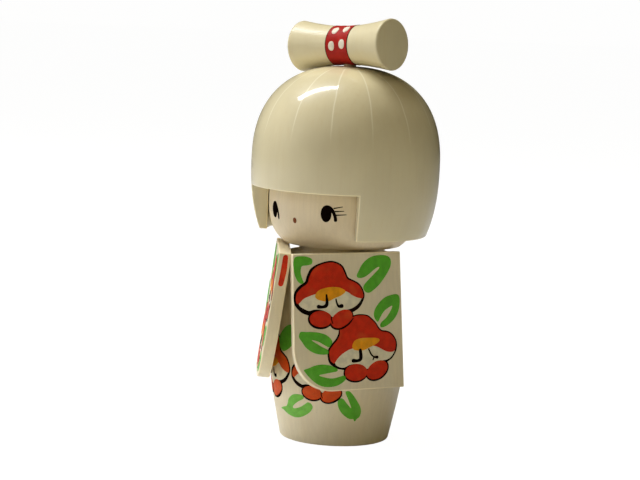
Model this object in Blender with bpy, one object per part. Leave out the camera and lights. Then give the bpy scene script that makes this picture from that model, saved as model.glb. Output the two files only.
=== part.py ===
"""A turned wooden doll: body, two sleeve boards, face, hair cap, bun, and the dowels that hold them.

The doll stands at the origin with its face towards -Y and its left arm towards +X, in metres.
The head turns on its neck peg about the Z axis, and rests a little to the doll's right.
"""

import math

import bmesh
import bpy
from mathutils import Matrix, Vector

MM = 0.001

# Driving dimensions
BASE_RADIUS = 22.0 * MM
BELLY_SLOPE = 0.22          # how fast the body widens going up from its base
SHOULDER_RADIUS = 22.5 * MM
SHOULDER = 74.8 * MM
SHOULDER_SLOPE = 0.106      # how fast the body widens going down from its shoulder
NECK_RADIUS = 17.3 * MM     # the seat that the head turns on
NECK_FOOT = 76.0 * MM
BODY_TOP = 78.8 * MM
BELLY_BLEND = 1.6 * MM      # rounding where the two tapers meet

SLEEVE_TOP = 78.8 * MM
SLEEVE_LENGTH = 48.2 * MM
SLEEVE_HEIGHT = 53.8 * MM
SLEEVE_THICKNESS = 5.0 * MM
SLEEVE_CORNERS = {"left": 17.4 * MM, "right": 27.2 * MM}  # cut by eye, so one is rounder
SLEEVE_HALF_ANGLE = math.radians(31.9)   # between each board and the doll's plane of symmetry
SLEEVE_LEAN = math.radians(7.0)          # how far each board leans outwards going down
SLEEVE_APEX = 49.4 * MM                  # where the boards' outer faces would meet, ahead of the axis
SLEEVE_SETBACK = 5.6 * MM                # from there back to each board's front edge
SLEEVE_FLARE = 0.9 * MM                  # how much wider each board is at its foot
SLEEVE_MITRE = 1.5 * MM                  # how far the front edge falls back through its thickness
SLEEVE_CHAMFER = 0.4 * MM

FACE_RADIUS = 30.2 * MM
FACE_MIDDLE = 97.5 * MM
FACE_DEPTH = 23.0 * MM
FACE_ROUNDNESS = 2.9

HAIR_RADIUS = 37.9 * MM
HAIR_WIDEST = 111.4 * MM
HAIR_CROWN = 150.3 * MM
HAIR_RIM = 83.5 * MM
HAIR_RIM_RADIUS = 33.6 * MM
CROWN_ROUNDNESS = 2.38
SIDE_ROUNDNESS = 2.48
FRINGE = 101.7 * MM
WINDOW_HALF_ANGLE = math.radians(48.7)
HEAD_TURN = math.radians(-11.0)          # towards the doll's right

BUN_MIDDLE = 158.6 * MM
BUN_HALF_LENGTH = 23.3 * MM
BUN_SHIFT = -1.8 * MM                    # the spool sits a little to the doll's right of its peg
BUN_END_RADIUS = 10.4 * MM
BUN_WAIST_RADIUS = 7.7 * MM
BUN_TILT = math.radians(3.5)
BUN_EDGE = 0.5 * MM

NECK_PEG_RADIUS = 5.0 * MM
NECK_PEG_IN_BODY = 20.0 * MM
NECK_PEG_IN_FACE = 14.0 * MM
BUN_PEG_RADIUS = 2.5 * MM
BUN_PEG_IN_CROWN = 10.0 * MM
BUN_PEG_IN_BUN = 9.0 * MM
SLEEVE_PEG_RADIUS = 2.0 * MM
SLEEVE_PEG_IN_BODY = 6.5 * MM
SLEEVE_PEG_IN_BOARD = 3.0 * MM
SLEEVE_PEG_DROPS = {"upper": 12.0 * MM, "lower": 34.0 * MM}
PEG_CHAMFER = 0.5 * MM

GAP = 0.3 * MM              # between faces that touch
PEG_CLEARANCE = 0.15 * MM   # round each peg in its hole
TURNED_STEPS = 48
PEG_STEPS = 20

IVORY = (0.76, 0.69, 0.50)
LACQUER = (0.74, 0.68, 0.48)
BARE_WOOD = (0.66, 0.50, 0.30)


def clear_scene():
    for item in list(bpy.data.objects):
        bpy.data.objects.remove(item, do_unlink=True)


def material(name, colour, roughness):
    made = bpy.data.materials.new(name)
    made.use_nodes = True
    shader = made.node_tree.nodes["Principled BSDF"]
    shader.inputs["Base Color"].default_value = (*colour, 1.0)
    shader.inputs["Roughness"].default_value = roughness
    shader.inputs["Metallic"].default_value = 0.0
    return made


def object_from(bm, name, finish=None, smooth_angle=30.0):
    """One object of a finished bmesh, shaded smooth but for its sharp edges."""
    bmesh.ops.recalc_face_normals(bm, faces=bm.faces[:])
    mesh = bpy.data.meshes.new(name)
    bm.to_mesh(mesh)
    bm.free()
    mesh.shade_smooth()
    mesh.set_sharp_from_angle(angle=math.radians(smooth_angle))
    made = bpy.data.objects.new(name, mesh)
    bpy.context.scene.collection.objects.link(made)
    if finish is not None:
        made.data.materials.append(finish)
    return made


def turned(profile, steps=TURNED_STEPS):
    """A solid of revolution about Z from (radius, height) points that start and end on the axis."""
    bm = bmesh.new()
    verts = [bm.verts.new((radius, 0.0, height)) for radius, height in profile]
    edges = [bm.edges.new(pair) for pair in zip(verts, verts[1:])]
    bmesh.ops.spin(
        bm,
        geom=verts + edges,
        cent=(0.0, 0.0, 0.0),
        axis=(0.0, 0.0, 1.0),
        angle=math.tau,
        steps=steps,
        use_merge=True,
    )
    bmesh.ops.remove_doubles(bm, verts=bm.verts[:], dist=0.01 * MM)
    return bm


def spaced(start, end, count):
    return [start + (end - start) * step / (count - 1) for step in range(count)]


def cut(target, cutter):
    """Subtracts one solid from another, and keeps the cutter out of the model."""
    cutter.hide_render = True
    cutter.display_type = "WIRE"
    boolean = target.modifiers.new(cutter.name, "BOOLEAN")
    boolean.operation = "DIFFERENCE"
    boolean.solver = "EXACT"
    boolean.object = cutter


def peg(name, radius, low, high, finish):
    """A dowel along Z with chamfered ends."""
    profile = [
        (0.0, low),
        (radius - PEG_CHAMFER, low),
        (radius, low + PEG_CHAMFER),
        (radius, high - PEG_CHAMFER),
        (radius - PEG_CHAMFER, high),
        (0.0, high),
    ]
    return object_from(turned(profile, PEG_STEPS), name, finish)


def drill(name, radius, low, high):
    """A cutter for a round hole along Z."""
    profile = [(0.0, low), (radius, low), (radius, high), (0.0, high)]
    return object_from(turned(profile, PEG_STEPS), name)


def body_radius(height):
    """Two tapers that meet in a soft belly."""
    lower = BASE_RADIUS + BELLY_SLOPE * height
    upper = SHOULDER_RADIUS + SHOULDER_SLOPE * (SHOULDER - height)
    return -BELLY_BLEND * math.log(math.exp(-lower / BELLY_BLEND) + math.exp(-upper / BELLY_BLEND))


def make_body(finish):
    base_edge = 0.6 * MM
    hole = NECK_PEG_RADIUS + GAP
    hole_bottom = BODY_TOP - NECK_PEG_IN_BODY - GAP
    heights = spaced(base_edge, 18 * MM, 4) + spaced(21 * MM, 39 * MM, 7) + spaced(45 * MM, SHOULDER, 5)
    profile = [(0.0, 0.0), (BASE_RADIUS - base_edge, 0.0)]
    profile += [(body_radius(height), height) for height in heights]
    profile += [(NECK_RADIUS, NECK_FOOT), (NECK_RADIUS, BODY_TOP)]
    profile += [(hole, BODY_TOP), (hole, hole_bottom), (0.0, hole_bottom)]
    bm = turned(profile)
    for side in (1, -1):
        frame = sleeve_frame(side)
        inner = frame @ Vector((0.0, side * (SLEEVE_THICKNESS + GAP), 0.0))
        outward = frame.to_3x3() @ Vector((0.0, -side, 0.0))
        plane_off(bm, inner, outward)
    return object_from(bm, "body", finish)


def plane_off(bm, point, outward):
    """Planes a solid flat, taking away what lies beyond a plane."""
    parts = bmesh.ops.bisect_plane(
        bm,
        geom=bm.verts[:] + bm.edges[:] + bm.faces[:],
        dist=0.001 * MM,
        plane_co=point,
        plane_no=outward,
        clear_outer=True,
    )
    rim = [part for part in parts["geom_cut"] if isinstance(part, bmesh.types.BMEdge)]
    bmesh.ops.holes_fill(bm, edges=rim, sides=0)


def sleeve_frame(side):
    """A board's own axes: X from front to back, Z up its height, Y through its thickness.

    The board's outer face is at Y = 0, and its inner face at side times the thickness.
    """
    back = Vector((side * math.sin(SLEEVE_HALF_ANGLE), math.cos(SLEEVE_HALF_ANGLE), 0.0))
    outward = Vector((side * math.cos(SLEEVE_HALF_ANGLE), -math.sin(SLEEVE_HALF_ANGLE), 0.0))
    up = Vector((0.0, 0.0, math.cos(SLEEVE_LEAN))) - outward * math.sin(SLEEVE_LEAN)
    through = up.cross(back)
    frame = Matrix((back, through, up)).transposed().to_4x4()
    frame.translation = Vector((0.0, -SLEEVE_APEX, SLEEVE_TOP))
    return frame


def make_sleeve(side_name, side, finish):
    """A flat board with one rounded corner, whose front edge falls back towards its inner face.

    Near the top it is trimmed where it would run into its partner.
    """
    front = SLEEVE_SETBACK
    back = SLEEVE_SETBACK + SLEEVE_LENGTH
    corner = SLEEVE_CORNERS[side_name]
    corner_x = front + corner
    corner_z = corner - SLEEVE_HEIGHT
    turns = spaced(math.pi, 1.5 * math.pi, 9)
    outline = [(corner_x + corner * math.cos(a), corner_z + corner * math.sin(a)) for a in turns]
    outline += [(back + SLEEVE_FLARE, -SLEEVE_HEIGHT), (back, 0.0), (front, 0.0)]
    bm = bmesh.new()
    face = bm.faces.new([bm.verts.new((x, 0.0, z)) for x, z in outline])
    walls = bmesh.ops.extrude_face_region(bm, geom=[face])
    moved = [part for part in walls["geom"] if isinstance(part, bmesh.types.BMVert)]
    for vert in moved:
        share = max(0.0, (corner_x - vert.co.x) / corner)
        vert.co += Vector((SLEEVE_MITRE * share, side * SLEEVE_THICKNESS, 0.0))
    frame = sleeve_frame(side)
    meeting = frame.inverted() @ Vector((side * GAP / 2, 0.0, 0.0))
    plane_off(bm, meeting, frame.to_3x3().inverted() @ Vector((-side, 0.0, 0.0)))
    board = object_from(bm, f"sleeve_{side_name}", finish)
    board.matrix_world = frame
    chamfer = board.modifiers.new("chamfer", "BEVEL")
    chamfer.width = SLEEVE_CHAMFER
    chamfer.segments = 1
    chamfer.limit_method = "ANGLE"
    chamfer.angle_limit = math.radians(30.0)
    return board


def peg_sleeve(side_name, side, board, body, finish):
    """The dowels between a board and the flat behind it, and the holes that they sit in."""
    inner = SLEEVE_THICKNESS
    across = Matrix.Rotation(math.radians(-90.0 * side), 4, "X")
    beside_axis = SLEEVE_APEX * math.cos(SLEEVE_HALF_ANGLE)
    for level, drop in SLEEVE_PEG_DROPS.items():
        place = sleeve_frame(side) @ Matrix.Translation((beside_axis, 0.0, -drop)) @ across
        low = inner - SLEEVE_PEG_IN_BOARD
        high = inner + GAP + SLEEVE_PEG_IN_BODY
        dowel = peg(f"sleeve_peg_{side_name}_{level}", SLEEVE_PEG_RADIUS, low, high, finish)
        hole_radius = SLEEVE_PEG_RADIUS + PEG_CLEARANCE
        hole = drill(f"drill_{side_name}_{level}", hole_radius, low - GAP, high + GAP)
        for item in (dowel, hole):
            item.matrix_world = place
        cut(board, hole)
        cut(body, hole)


def bowl_radius(height):
    fall = (FACE_MIDDLE - height) / FACE_DEPTH
    return FACE_RADIUS * (1.0 - fall**FACE_ROUNDNESS) ** (1.0 / FACE_ROUNDNESS)


def make_face(finish, head):
    """The head's core: a bowl below its middle and half a ball above it, with the neck peg's hole."""
    seat = BODY_TOP + GAP
    hole = NECK_PEG_RADIUS + PEG_CLEARANCE
    hole_top = seat + NECK_PEG_IN_FACE + GAP
    angles = spaced(0.0, math.pi / 2, 10)[1:-1]
    profile = [(0.0, hole_top), (hole, hole_top), (hole, seat)]
    profile += [(bowl_radius(height), height) for height in spaced(seat, FACE_MIDDLE, 12)]
    profile += [(FACE_RADIUS * math.cos(a), FACE_MIDDLE + FACE_RADIUS * math.sin(a)) for a in angles]
    profile += [(0.0, FACE_MIDDLE + FACE_RADIUS)]
    face = object_from(turned(profile), "face", finish)
    face.parent = head


def side_point(height):
    """The hair's side, which draws in from its widest ring to its rim."""
    fall = (HAIR_WIDEST - height) / (HAIR_WIDEST - HAIR_RIM)
    return HAIR_RADIUS - (HAIR_RADIUS - HAIR_RIM_RADIUS) * fall**SIDE_ROUNDNESS, height


def crown_point(angle):
    """The hair's crown, a squarish dome above its widest ring."""
    power = 2.0 / CROWN_ROUNDNESS
    rise = HAIR_CROWN - HAIR_WIDEST
    return HAIR_RADIUS * math.cos(angle) ** power, HAIR_WIDEST + rise * math.sin(angle) ** power


def make_hair_cap(finish, head):
    inside = FACE_RADIUS + GAP
    hole = BUN_PEG_RADIUS + PEG_CLEARANCE
    hole_bottom = HAIR_CROWN - BUN_PEG_IN_CROWN - GAP
    angles = spaced(0.0, math.pi / 2, 10)
    profile = [(0.0, FACE_MIDDLE + inside)]
    profile += [(inside * math.cos(a), FACE_MIDDLE + inside * math.sin(a)) for a in reversed(angles[:-1])]
    profile += [(inside, HAIR_RIM)]
    profile += [side_point(height) for height in spaced(HAIR_RIM, HAIR_WIDEST, 10)]
    profile += [crown_point(angle) for angle in spaced(0.0, math.radians(86.0), 14)[1:]]
    crown_height = profile[-1][1]
    profile += [(hole, crown_height), (hole, hole_bottom), (0.0, hole_bottom)]
    cap = object_from(turned(profile), "hair_cap", finish)
    window = window_cutter()
    for item in (cap, window):
        item.parent = head
    cut(cap, window)


def window_cutter():
    """A fan-shaped block: its two straight sides cut the locks, and its top cuts the fringe."""
    reach = 2.0 * HAIR_RADIUS
    low = HAIR_RIM - 10.0 * MM
    bm = bmesh.new()
    corner = bm.verts.new((0.0, 0.0, low))
    fan = [corner]
    for angle in spaced(-WINDOW_HALF_ANGLE, WINDOW_HALF_ANGLE, 9):
        fan.append(bm.verts.new((reach * math.sin(angle), -reach * math.cos(angle), low)))
    block = bmesh.ops.extrude_face_region(bm, geom=[bm.faces.new(fan)])
    moved = [part for part in block["geom"] if isinstance(part, bmesh.types.BMVert)]
    bmesh.ops.translate(bm, verts=moved, vec=(0.0, 0.0, FRINGE - low))
    return object_from(bm, "face_window_cutter")


def make_bun(finish, head):
    """A waisted spool across the crown, with a hole for its peg."""
    half = BUN_HALF_LENGTH
    profile = [(0.0, -half), (BUN_END_RADIUS - BUN_EDGE, -half)]
    for along in spaced(-half + BUN_EDGE, half - BUN_EDGE, 15):
        flare = abs(along / half) ** 1.8
        profile.append((BUN_WAIST_RADIUS + (BUN_END_RADIUS - BUN_WAIST_RADIUS) * flare, along))
    profile += [(BUN_END_RADIUS - BUN_EDGE, half), (0.0, half)]
    bun = object_from(turned(profile), "bun", finish)
    bun.parent = head
    lie = Matrix.Rotation(math.pi / 2 - BUN_TILT, 4, "Y")
    along_peg = Matrix.Translation((0.0, 0.0, BUN_MIDDLE))
    bun.matrix_local = along_peg @ lie @ Matrix.Translation((0.0, 0.0, BUN_SHIFT))
    hole_top = HAIR_CROWN + BUN_PEG_IN_BUN + GAP
    hole = drill("drill_bun", BUN_PEG_RADIUS + PEG_CLEARANCE, HAIR_CROWN - 2.0 * MM, hole_top)
    hole.parent = head
    cut(bun, hole)


def make_pegs(finish, head):
    seat = BODY_TOP + GAP
    crown_low = HAIR_CROWN - BUN_PEG_IN_CROWN
    neck = peg("neck_peg", NECK_PEG_RADIUS, BODY_TOP - NECK_PEG_IN_BODY, seat + NECK_PEG_IN_FACE, finish)
    top = peg("bun_peg", BUN_PEG_RADIUS, crown_low, HAIR_CROWN + BUN_PEG_IN_BUN, finish)
    for item in (neck, top):
        item.parent = head


clear_scene()
ivory = material("painted wood", IVORY, 0.45)
lacquer = material("lacquered wood", LACQUER, 0.2)
bare = material("bare wood", BARE_WOOD, 0.7)

head_pivot = bpy.data.objects.new("head_pivot", None)
head_pivot.rotation_euler = (0.0, 0.0, HEAD_TURN)
bpy.context.scene.collection.objects.link(head_pivot)

doll_body = make_body(ivory)
for word, hand in (("left", 1), ("right", -1)):
    sleeve = make_sleeve(word, hand, ivory)
    peg_sleeve(word, hand, sleeve, doll_body, bare)
make_face(ivory, head_pivot)
make_hair_cap(lacquer, head_pivot)
make_bun(lacquer, head_pivot)
make_pegs(bare, head_pivot)
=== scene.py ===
# %% [markdown]
# # A painted kokeshi doll
# The doll is lathe-turned from pale wood: a body, a head core that carries the face, a hair cap
# that slips over the core, and a spool for the bun. Two sawn boards are its sleeves, and brushed
# flowers are its only dress. Everything stands in one frame, in metres, face towards -Y.

# %% Load the turned parts
import math

import bmesh
import bpy
from mathutils import Matrix, Vector


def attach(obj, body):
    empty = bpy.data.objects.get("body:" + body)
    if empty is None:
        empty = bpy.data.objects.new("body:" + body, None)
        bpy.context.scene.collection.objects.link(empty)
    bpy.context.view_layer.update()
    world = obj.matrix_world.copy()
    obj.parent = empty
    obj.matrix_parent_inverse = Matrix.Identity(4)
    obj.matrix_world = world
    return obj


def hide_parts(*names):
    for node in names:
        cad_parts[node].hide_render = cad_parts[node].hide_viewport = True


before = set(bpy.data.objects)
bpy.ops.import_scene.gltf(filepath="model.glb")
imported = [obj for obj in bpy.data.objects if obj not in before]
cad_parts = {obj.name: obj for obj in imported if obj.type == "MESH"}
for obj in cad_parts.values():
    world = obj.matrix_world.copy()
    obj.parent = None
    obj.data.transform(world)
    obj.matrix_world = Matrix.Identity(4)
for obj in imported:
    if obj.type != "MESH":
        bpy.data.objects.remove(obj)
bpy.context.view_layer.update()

print("parts:", ", ".join(sorted(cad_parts)))

# %% [markdown]
# The driving sizes come first, in millimetres, because that is how a turner thinks of them. The
# body is two tapers that meet in a soft belly. The sleeve boards lean outwards going down, and
# the head rests turned a little to the doll's right.

# %% Sizes of the doll
MM = 0.001
BASE_RADIUS, BELLY_SLOPE = 22.0, 0.22
SHOULDER_RADIUS, SHOULDER, SHOULDER_SLOPE = 22.5, 74.8, 0.106
BELLY_BLEND = 1.6
NECK_RADIUS, NECK_FOOT, BODY_TOP = 17.3, 76.0, 78.8

SLEEVE_TOP, SLEEVE_LENGTH, SLEEVE_HEIGHT, SLEEVE_THICKNESS = 78.8, 48.2, 53.8, 5.0
SLEEVE_CORNERS = {"left": 17.4, "right": 27.2}
SLEEVE_SIDES = {"left": 1, "right": -1}
SLEEVE_HALF_ANGLE, SLEEVE_LEAN = math.radians(31.9), math.radians(7.0)
SLEEVE_APEX, SLEEVE_SETBACK, SLEEVE_FLARE, SLEEVE_MITRE = 49.4, 5.6, 0.9, 1.5
PAINTING_START = 4.8                           # the paintings are measured back from here

FACE_RADIUS, FACE_MIDDLE, FACE_DEPTH, FACE_ROUNDNESS = 30.2, 97.5, 23.0, 2.9

HAIR_RADIUS, HAIR_WIDEST, HAIR_CROWN = 37.9, 111.4, 150.3
HAIR_RIM, HAIR_RIM_RADIUS = 83.5, 33.6
CROWN_ROUNDNESS, SIDE_ROUNDNESS = 2.38, 2.48
FRINGE = 101.7
HEAD_TURN = math.radians(-11.0)

BUN_MIDDLE, BUN_HALF_LENGTH, BUN_SHIFT = 158.6, 23.3, -1.8
BUN_END_RADIUS, BUN_WAIST_RADIUS, BUN_TILT = 10.4, 7.7, math.radians(3.5)

NECK_PEG_RADIUS, BUN_PEG_RADIUS, SLEEVE_PEG_RADIUS = 5.0, 2.5, 2.0
SLEEVE_PEG_DROPS = (12.0, 34.0)                # how far down its board each peg is
PEG_IN_BOARD, PEG_IN_BODY = 3.3, 6.8           # the depths of a sleeve peg's two holes
NECK_HOLE_IN_BODY, NECK_HOLE_IN_HEAD = 20.3, 14.3
BUN_HOLE_IN_CAP, BUN_HOLE_IN_SPOOL = 10.3, 9.3
PEG_PLAY = 0.15                                # between a glued peg and its hole
GAP = 0.3                                      # between two parts that meet
LATHE_STEPS = 192
print(f"crown {HAIR_CROWN:.0f} mm up, base {BASE_RADIUS * 2:.0f} mm across")

# %% [markdown]
# A finish is a material whose nodes are written as sums. Signal wraps one output socket, so that
# `1 - mask * 0.3` adds the Math nodes it needs. Colours can't pass through a Math node, which
# would turn them grey, so they are blended by `mix`. Every other node comes from `node`.

# %% A small language for finishes
# the attribute on broken edges, whose faces are painted lighter for wear and as a painted
# highlight
WEAR_AND_HIGHLIGHT = "wear_and_highlight"


class Signal:
    """One output socket of a finish. Sums and products of signals add Math nodes."""

    def __init__(self, finish, socket):
        self.finish = finish
        self.socket = socket

    def math(self, operation, *others):
        return self.finish.math(operation, self, *others)

    def __add__(self, other):
        return self.math("ADD", other)

    def __sub__(self, other):
        return self.math("SUBTRACT", other)

    def __rsub__(self, other):
        return self.finish.math("SUBTRACT", other, self)

    def __mul__(self, other):
        return self.math("MULTIPLY", other)

    __radd__ = __add__
    __rmul__ = __mul__


class Finish:
    """A material, with one method that adds a node and a few that name common ones."""

    def __init__(self, name, **constants):
        self.material = bpy.data.materials.new(name)
        self.material.use_nodes = True
        self.tree = self.material.node_tree
        self.shader = self.tree.nodes["Principled BSDF"]
        for socket, value in constants.items():
            self.shader.inputs[socket.replace("_", " ")].default_value = value

    def node(self, kind, settings, sockets, output=0):
        made = self.tree.nodes.new(kind)
        for name, value in settings.items():
            setattr(made, name, value)
        for place, value in sockets.items():
            self.feed(made.inputs[place], value)
        return Signal(self, made.outputs[output])

    def feed(self, socket, value):
        if isinstance(value, Signal):
            self.tree.links.new(value.socket, socket)
        else:
            socket.default_value = value

    def set(self, **values):
        for name, value in values.items():
            self.feed(self.shader.inputs[name.replace("_", " ")], value)

    def math(self, operation, *values):
        return self.node("ShaderNodeMath", {"operation": operation}, dict(enumerate(values)))

    def mix(self, amount, low, high):
        settings = {"data_type": "RGBA", "clamp_factor": True}
        return self.node("ShaderNodeMix", settings, {0: amount, 6: low, 7: high}, output=2)

    def place(self, stretch=(1.0, 1.0, 1.0), turn=(0.0, 0.0, 0.0)):
        """Object coordinates in millimetres, turned and then stretched."""
        where = self.node("ShaderNodeTexCoord", {}, {}, output=3)
        sockets = {"Vector": where, "Rotation": turn}
        turned_about = self.node("ShaderNodeMapping", {}, sockets)
        scale = tuple(1.0 / (MM * length) for length in stretch)
        return self.node("ShaderNodeMapping", {}, {"Vector": turned_about, "Scale": scale})

    def noise(self, stretch, detail, roughness=0.5, turn=(0.0, 0.0, 0.0)):
        """Noise whose patches are stretch millimetres long on each axis."""
        sockets = {
            "Vector": self.place(stretch, turn), "Scale": 1.0,
            "Detail": detail, "Roughness": roughness,
        }
        return self.node("ShaderNodeTexNoise", {}, sockets)

    def smooth(self, value, start, end):
        """0 below start, 1 above end, eased between them."""
        settings = {"interpolation_type": "SMOOTHSTEP"}
        return self.node("ShaderNodeMapRange", settings, {0: value, 1: start, 2: end})

    def wear_and_highlight(self):
        """1 on the narrow faces of a broken edge, and 0 elsewhere. There the colour is lightened,
        for wear and as a painted highlight that the edge would catch.
        """
        return self.node("ShaderNodeAttribute", {"attribute_name": WEAR_AND_HIGHLIGHT}, {}, output=2)

    def axes(self, vector):
        split = self.node("ShaderNodeSeparateXYZ", {}, {0: vector}).socket.node
        return [Signal(self, socket) for socket in split.outputs]

    def bump(self, height, depth):
        """The shader's normal, from a height signal that is depth millimetres tall."""
        sockets = {"Strength": 1.0, "Distance": depth * MM, "Height": height}
        self.set(Normal=self.node("ShaderNodeBump", {}, sockets))


def shade(colour, amount):
    """A colour with its brightness scaled."""
    return tuple(channel * amount for channel in colour[:3]) + (1.0,)


# %% [markdown]
# ## Wood under varnish
# The body and the sleeves are pale, close-grained wood under a thin satin varnish. Real turned
# wood shows three things at this scale: long faint fibres along the grain, fine rings that the
# chisel left, and slow clouds where the varnish pooled. All three are noise on the object's own
# coordinates, stretched along the grain, so that they never slide.

# %% Pale varnished wood
IVORY = (0.80, 0.70, 0.465, 1.0)


def varnished_wood(name, ivory, rings, roughness):
    """Pale wood with upright grain. rings is how strongly the chisel's marks show."""
    finish = Finish(name, Specular_IOR_Level=0.3)
    fibre = finish.noise((1.1, 1.1, 26.0), 6.0, 0.62)
    year_line = finish.noise((7.0, 7.0, 60.0), 2.0)
    cloud = finish.noise((22.0, 22.0, 22.0), 2.0)
    speck = finish.smooth(finish.noise((0.5, 0.5, 0.5), 1.0), 0.72, 0.8)
    tone = finish.mix(finish.smooth(fibre, 0.3, 0.75), shade(ivory, 0.955), shade(ivory, 1.04))
    warm = (ivory[0] * 0.97, ivory[1] * 0.91, ivory[2] * 0.80, 1.0)
    tone = finish.mix(finish.smooth(year_line, 0.45, 0.8) * 0.45, tone, warm)
    tone = finish.mix(finish.smooth(cloud, 0.35, 0.7) * 0.35, tone, shade(ivory, 1.08))
    tone = finish.mix(speck * 0.5, tone, shade(warm, 0.72))
    # broken edges painted lighter: wear, and a painted highlight where the edge catches the light
    tone = finish.mix(finish.wear_and_highlight() * (0.45 + cloud * 0.6), tone, shade(ivory, 1.32))
    ring = finish.noise((400.0, 400.0, 0.55), 2.0)
    finish.set(Base_Color=tone, Roughness=roughness + fibre * 0.12 - cloud * 0.06)
    finish.bump(fibre * 0.35 + ring * rings + speck * 0.2, 0.05)
    return finish


body_wood = varnished_wood("varnished body wood", IVORY, 0.9, 0.36)
board_wood = varnished_wood("varnished board wood", IVORY, 0.0, 0.38)
FACE_TONE = (0.76, 0.64, 0.42, 1.0)
face_wood = varnished_wood("matt face wood", FACE_TONE, 0.5, 0.44)
print("woods:", body_wood.material.name, board_wood.material.name, face_wood.material.name)

# %% [markdown]
# The hair is the same wood under a thick cream lacquer, rubbed to a gloss. Fourteen fine pale
# lines run down from the crown for strands, and fade out above the fringe. The line nearest to a
# point is found from its angle about the turning axis, so all of them come from one expression.

# %% Glossy cream lacquer
CREAM = (0.73, 0.645, 0.395, 1.0)
STRAND_TONE = (0.90, 0.84, 0.62, 1.0)
STRANDS, FIRST_STRAND = 14, math.radians(21.4)


def lacquer(name, with_strands, coat, coat_roughness):
    finish = Finish(name, Specular_IOR_Level=0.2, Coat_Roughness=coat_roughness, Coat_IOR=1.5)
    cloud = finish.noise((16.0, 16.0, 26.0), 3.0)
    fibre = finish.noise((1.6, 1.6, 34.0), 5.0, 0.6)
    ripple = finish.noise((1.3, 1.3, 1.3), 2.0)
    tone = finish.mix(finish.smooth(cloud, 0.3, 0.7), shade(CREAM, 0.96), shade(CREAM, 1.03))
    grain = (CREAM[0] * 0.94, CREAM[1] * 0.87, CREAM[2] * 0.74, 1.0)
    tone = finish.mix(finish.smooth(fibre, 0.45, 0.8) * 0.3, tone, grain)
    # broken edges painted lighter: wear, and a painted highlight where the edge catches the light
    tone = finish.mix(finish.wear_and_highlight() * (0.4 + cloud * 0.6), tone, shade(CREAM, 1.3))
    relief = ripple * 0.12 + fibre * 0.1
    if with_strands:
        spot = finish.place(turn=(0.0, 0.0, -HEAD_TURN))
        across, ahead, height = finish.axes(spot)
        heading = finish.math("ARCTAN2", across, ahead)
        waver = (finish.noise((9.0, 9.0, 9.0), 1.0) - 0.5) * 0.022
        turn_share = (heading + waver - FIRST_STRAND) * (STRANDS / math.tau) + STRANDS + 0.5
        off_line = (turn_share.math("FRACT") - 0.5).math("ABSOLUTE") * (math.tau / STRANDS)
        girth = (across * across + ahead * ahead).math("SQRT")
        distance = off_line * girth
        line = 1.0 - finish.smooth(distance, 0.08, 0.42)
        reach = finish.smooth(height, 119.0, 133.0) * finish.smooth(girth, 7.0, 12.0)
        line = line * reach
        tone = finish.mix(line * 0.75, tone, STRAND_TONE)
        relief = relief + line * 0.5
    finish.set(Base_Color=tone, Roughness=0.3 + cloud * 0.08, Coat_Weight=coat + cloud * 0.2)
    finish.bump(relief, 0.05)
    return finish


hair_lacquer = lacquer("cream hair lacquer", True, 0.55, 0.10)
bun_lacquer = lacquer("cream bun lacquer", False, 0.15, 0.30)
print("lacquers:", hair_lacquer.material.name, bun_lacquer.material.name)

# %% [markdown]
# The dowels that hold the doll together are plain wood with an open grain. They hardly show, but
# a doll that is taken apart shows them at once, so they get a grain of their own.

# %% Bare dowel wood
def bare_wood(name):
    finish = Finish(name, Specular_IOR_Level=0.3)
    fibre = finish.noise((0.5, 0.5, 9.0), 5.0, 0.65)
    ring = finish.noise((2.4, 2.4, 40.0), 1.0)
    light, dark = (0.66, 0.50, 0.30, 1.0), (0.43, 0.28, 0.13, 1.0)
    tone = finish.mix(finish.smooth(fibre, 0.35, 0.7), light, dark)
    tone = finish.mix(finish.smooth(ring, 0.4, 0.7) * 0.5, tone, shade(light, 1.1))
    finish.set(Base_Color=tone, Roughness=0.62 + fibre * 0.2)
    finish.bump(fibre, 0.08)
    return finish


dowel_wood = bare_wood("bare dowel wood")
print("dowels:", dowel_wood.material.name)

# %% [markdown]
# ## Brush paint
# The flowers are laid on in one pass with a soft brush. The hairs leave streaks, the colour runs
# thin where the brush lifts, and thick paint stands a little proud. One recipe serves every
# colour: streaks for the hairs, clouds for thick and thin, and a small bump from both.

# %% Paints
def brush_paint(name, colour, thin, streak_turn=0.0, shine=0.15):
    """thin is the colour where the paint is scant, and streak_turn slants the hairs' marks."""
    finish = Finish(name, Specular_IOR_Level=shine)
    streak = finish.noise((0.28, 0.28, 6.0), 4.0, 0.6, (streak_turn, streak_turn * 0.6, 0.0))
    cloud = finish.noise((2.6, 2.6, 2.6), 3.0)
    load = finish.noise((6.5, 6.5, 6.5), 1.0)
    tone = finish.mix(finish.smooth(cloud, 0.3, 0.7), shade(colour, 0.88), shade(colour, 1.10))
    tone = finish.mix(finish.smooth(streak, 0.5, 0.78) * 0.5, tone, thin)
    tone = finish.mix(finish.smooth(load, 0.56, 0.72) * 0.4, tone, thin)
    finish.set(Base_Color=tone, Roughness=0.42 + streak * 0.15)
    finish.bump(streak * 0.7 + cloud * 0.5, 0.10)
    return finish


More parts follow.
